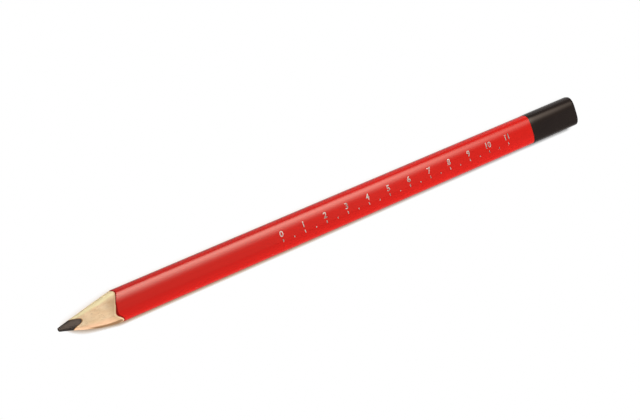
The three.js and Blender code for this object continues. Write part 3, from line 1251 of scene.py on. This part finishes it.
def softbox_material():
    material, tree = new_material("softbox_glow")
    mirrored = tree.node("ShaderNodeLightPath", output="Is Glossy Ray")
    x, y, _ = parts_of(tree, tree.node("ShaderNodeTexCoord", output="Object"))
    slide = (y - SOFTBOX_LEAN / 2) * math.sqrt(2)
    (middle_x, middle_slide), (reach, drop), soft = SOFTBOX_ARC.values()
    out = ((x - middle_x) / reach) ** 2.0 + ((slide - middle_slide) / drop) ** 2.0
    inside = smooth_step(1 - out.maths("SQRT"), -soft, soft)
    down = (slide - SOFTBOX_HOT_SLIDE) / SOFTBOX_SPREAD
    bright = (down * down * -0.5).maths("EXPONENT") * inside * SOFTBOX_STRENGTH
    glow = tree.node("ShaderNodeEmission", {}, {
        "Color": SOFTBOX_MIRRORED, "Strength": mirrored * (bright + MIRRORED_ROOM)})
    tree.node("ShaderNodeOutputMaterial", {}, {"Surface": glow})
    material.cycles.emission_sampling = "NONE"  # it isn't a lamp, so no light is sought there
    return material


def softbox_outline():
    """The lit part of the panel: straight edges, and the arc where the glow has just ended."""
    (middle_x, middle_slide), (reach, drop), soft = SOFTBOX_ARC.values()
    xs = np.linspace(SOFTBOX_SPAN[1], SOFTBOX_SPAN[0], SOFTBOX_STEPS)
    inside = np.maximum((1 + soft) ** 2 - ((xs - middle_x) / reach) ** 2, 0)
    slides = np.clip(middle_slide + drop * np.sqrt(inside), *SOFTBOX_SLIDE)
    return [(SOFTBOX_SPAN[0], SOFTBOX_SLIDE[0]), *zip(xs.tolist(), slides.tolist())]


softbox_corners = [on_softbox(x, slide) for x, slide in softbox_outline()]
softbox = staged_sheet("softbox", softbox_corners, softbox_material())
softbox.visible_camera = False
print("the softbox is", round(SOFTBOX_SPAN[1] - SOFTBOX_SPAN[0], 2), "m wide")

# %% [markdown]
# Both lamps are panels that face the pencil. The key lamp stands where the sheet glows most. The
# fill lamp is linked to the pencil alone, so that it leaves the floor's shadow as it is.

# %% The two lamps
LAMPS = {
    "key": {"place": on_softbox(0.145, -0.08), "size": (0.41, 0.6), "power": 8.2,
            "colour": (1.0, 0.98, 0.96)},
    "fill": {"place": (0.0, -0.86, 0.12), "size": (0.9, 0.25), "power": 11.5,
             "colour": (1.0, 1.0, 1.0)},
}


def add_lamp(name, place, size, power, colour):
    """A panel lamp that faces the pencil and isn't mirrored in it."""
    data = bpy.data.lights.new(name, "AREA")
    data.shape = "RECTANGLE"
    data.size, data.size_y = size
    data.energy, data.color = power, colour
    lamp = in_scene(name, data)
    turn = Vector(place).to_track_quat("Z", "Y")
    lamp.matrix_world = Matrix.Translation(place) @ turn.to_matrix().to_4x4()
    lamp.visible_glossy = False
    lamp.visible_camera = False
    print("the", name, "lamp gives", power, "W")
    return lamp


lamps = {name: add_lamp(name, **values) for name, values in LAMPS.items()}
lit = bpy.data.collections.new("lit_by_fill")
for thing in bpy.context.scene.objects:
    if thing.type == "MESH" and thing not in (floor, softbox):
        lit.objects.link(thing)
lamps["fill"].light_linking.receiver_collection = lit

# %% [markdown]
# The world is the room around the studio. It lights the pencil dimly from all sides, the pencil
# mirrors it as a dim room, and the camera sees it as plain white beyond the floor's edge. A Light
# Path node tells the three apart.

# %% The world
WORLD_LIGHT = 0.10


def set_world():
    world = bpy.data.worlds.new("studio")
    world.use_nodes = True
    world.node_tree.nodes.clear()
    tree = Tree(world.node_tree)
    seen = tree.node("ShaderNodeLightPath", output="Is Camera Ray")
    mirrored = seen.output("Is Glossy Ray")
    level = WORLD_LIGHT + (MIRRORED_ROOM - WORLD_LIGHT) * mirrored
    strength = level + (1.0 - level) * seen
    back = tree.node("ShaderNodeBackground", {}, {"Color": WHITE, "Strength": strength})
    tree.node("ShaderNodeOutputWorld", {}, {"Surface": back})
    bpy.context.scene.world = world


set_world()
bpy.context.scene.view_settings.view_transform = "Standard"
print("the world lights at", WORLD_LIGHT)

# %% [markdown]
# ## The camera
#
# The camera stands where the photograph's did. A camera fitted to the pencil's outline gives its
# place, the point that it looks at, and its roll, which is the angle by which the picture turns
# the pencil away from level.

# %% The camera
LENS = 91.97
SENSOR = 36.0
CAMERA_PLACE = Vector((-0.287022, 0.110773, 0.555403))
CAMERA_AIM = Vector((-0.006336, 0.003028, 0.003888))
CAMERA_ROLL = math.radians(23.1275)


def add_camera():
    data = bpy.data.cameras.new("camera")
    data.lens = LENS
    data.sensor_width = SENSOR
    data.clip_start = 0.01
    camera = in_scene("camera", data)
    ahead = (CAMERA_AIM - CAMERA_PLACE).normalized()
    along = Vector((1, 0, 0)) - ahead * ahead.x
    along.normalize()
    down = ahead.cross(along)
    right = along * math.cos(CAMERA_ROLL) + down * math.sin(CAMERA_ROLL)
    up = right.cross(ahead)
    turn = Matrix((right, up, -ahead)).transposed()
    camera.matrix_world = Matrix.Translation(CAMERA_PLACE) @ turn.to_4x4()
    bpy.context.scene.camera = camera


add_camera()
print("the camera is", round((CAMERA_PLACE - CAMERA_AIM).length, 3), "m from the pencil")
